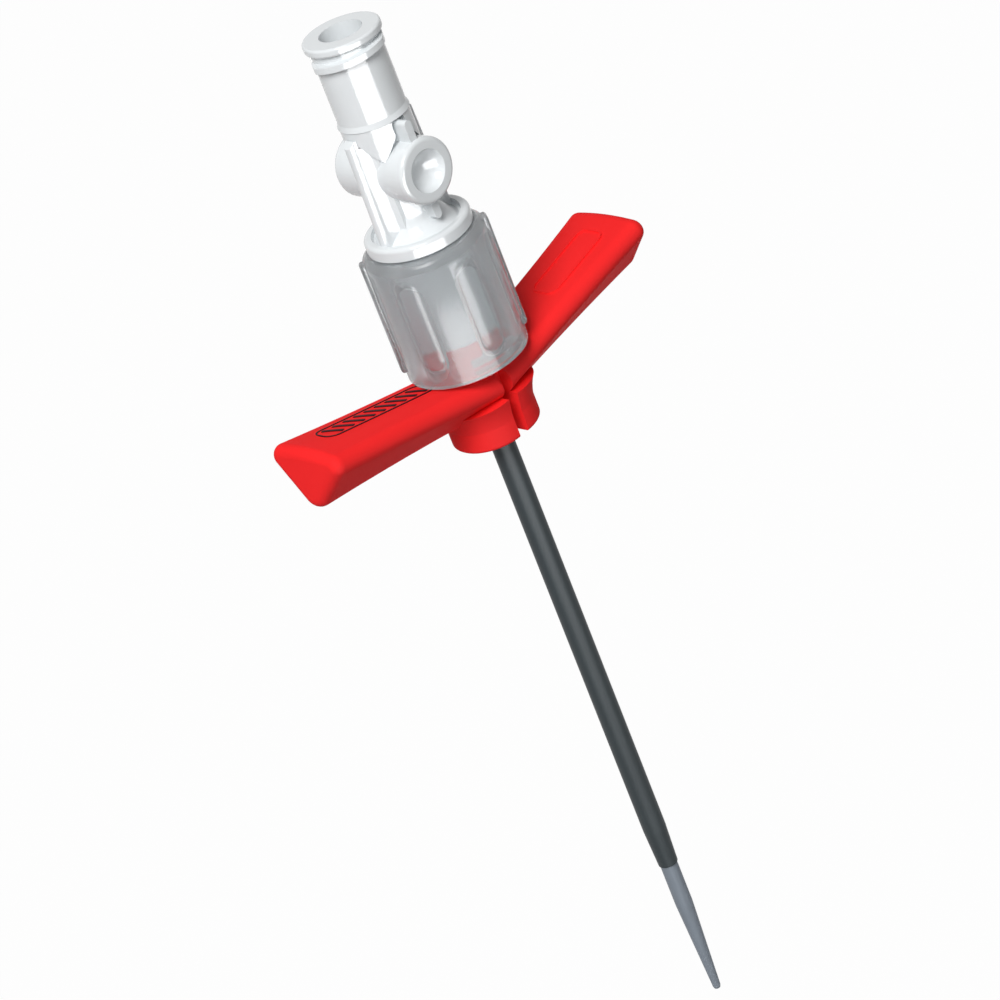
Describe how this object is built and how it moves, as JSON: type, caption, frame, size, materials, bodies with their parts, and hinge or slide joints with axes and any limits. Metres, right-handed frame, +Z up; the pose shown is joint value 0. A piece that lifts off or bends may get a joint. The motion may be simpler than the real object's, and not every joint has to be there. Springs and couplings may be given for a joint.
{
  "type": "vascular access sheath",
  "caption": "Tear-away introducer sheath with winged hub halves that split, a clear turning lock collar, and a luer-ended dilator that slides out",
  "frame": {"origin": "centre of the hub's lower face, where the sheath tube leaves it", "axes": "+Z up the shaft to the luer, X along the wings, Y along the finger bosses"},
  "size_m": [0.0452, 0.0122, 0.1144],
  "materials": {
    "sheath": "satin dark grey extruded tube",
    "wing": "glossy red moulding",
    "collar": "clear, slightly smoky moulded plastic",
    "hub": "glossy white moulding",
    "dilator": "satin grey-blue extruded tube"
  },
  "bodies": {
    "sheath": {"sheath_tube": "sheath"},
    "left_half": {"left_wing": "wing", "left_sheath_tab": "sheath"},
    "right_half": {"right_wing": "wing", "right_sheath_tab": "sheath"},
    "dilator": {"hub_body": "hub", "luer_barrel": "hub", "dilator_tube": "dilator"},
    "collar": {"locking_collar": "collar"}
  },
  "joints": [
    {"name": "dilator_withdraw", "type": "slide", "parent": "sheath", "child": "dilator", "axis": [0, 0, 1], "range_m": [0, 0.09]},
    {"name": "collar_turn", "type": "hinge", "parent": "dilator", "child": "collar", "pos_m": [0, 0, 0.0152], "axis": [0, 0, 1], "range_deg": [0, 90]},
    {"name": "left_wing_fold", "type": "hinge", "parent": "sheath", "child": "left_half", "pos_m": [-0.00125, 0, 0], "axis": [0, -1, 0], "range_deg": [0, 45]},
    {"name": "right_wing_fold", "type": "hinge", "parent": "sheath", "child": "right_half", "pos_m": [0.00125, 0, 0], "axis": [0, 1, 0], "range_deg": [0, 45]}
  ],
  "couplings": [
    {"joint": "left_wing_fold", "follows": "dilator_withdraw", "rad_per_m": 8.7266},
    {"joint": "right_wing_fold", "follows": "dilator_withdraw", "rad_per_m": 8.7266}
  ]
}
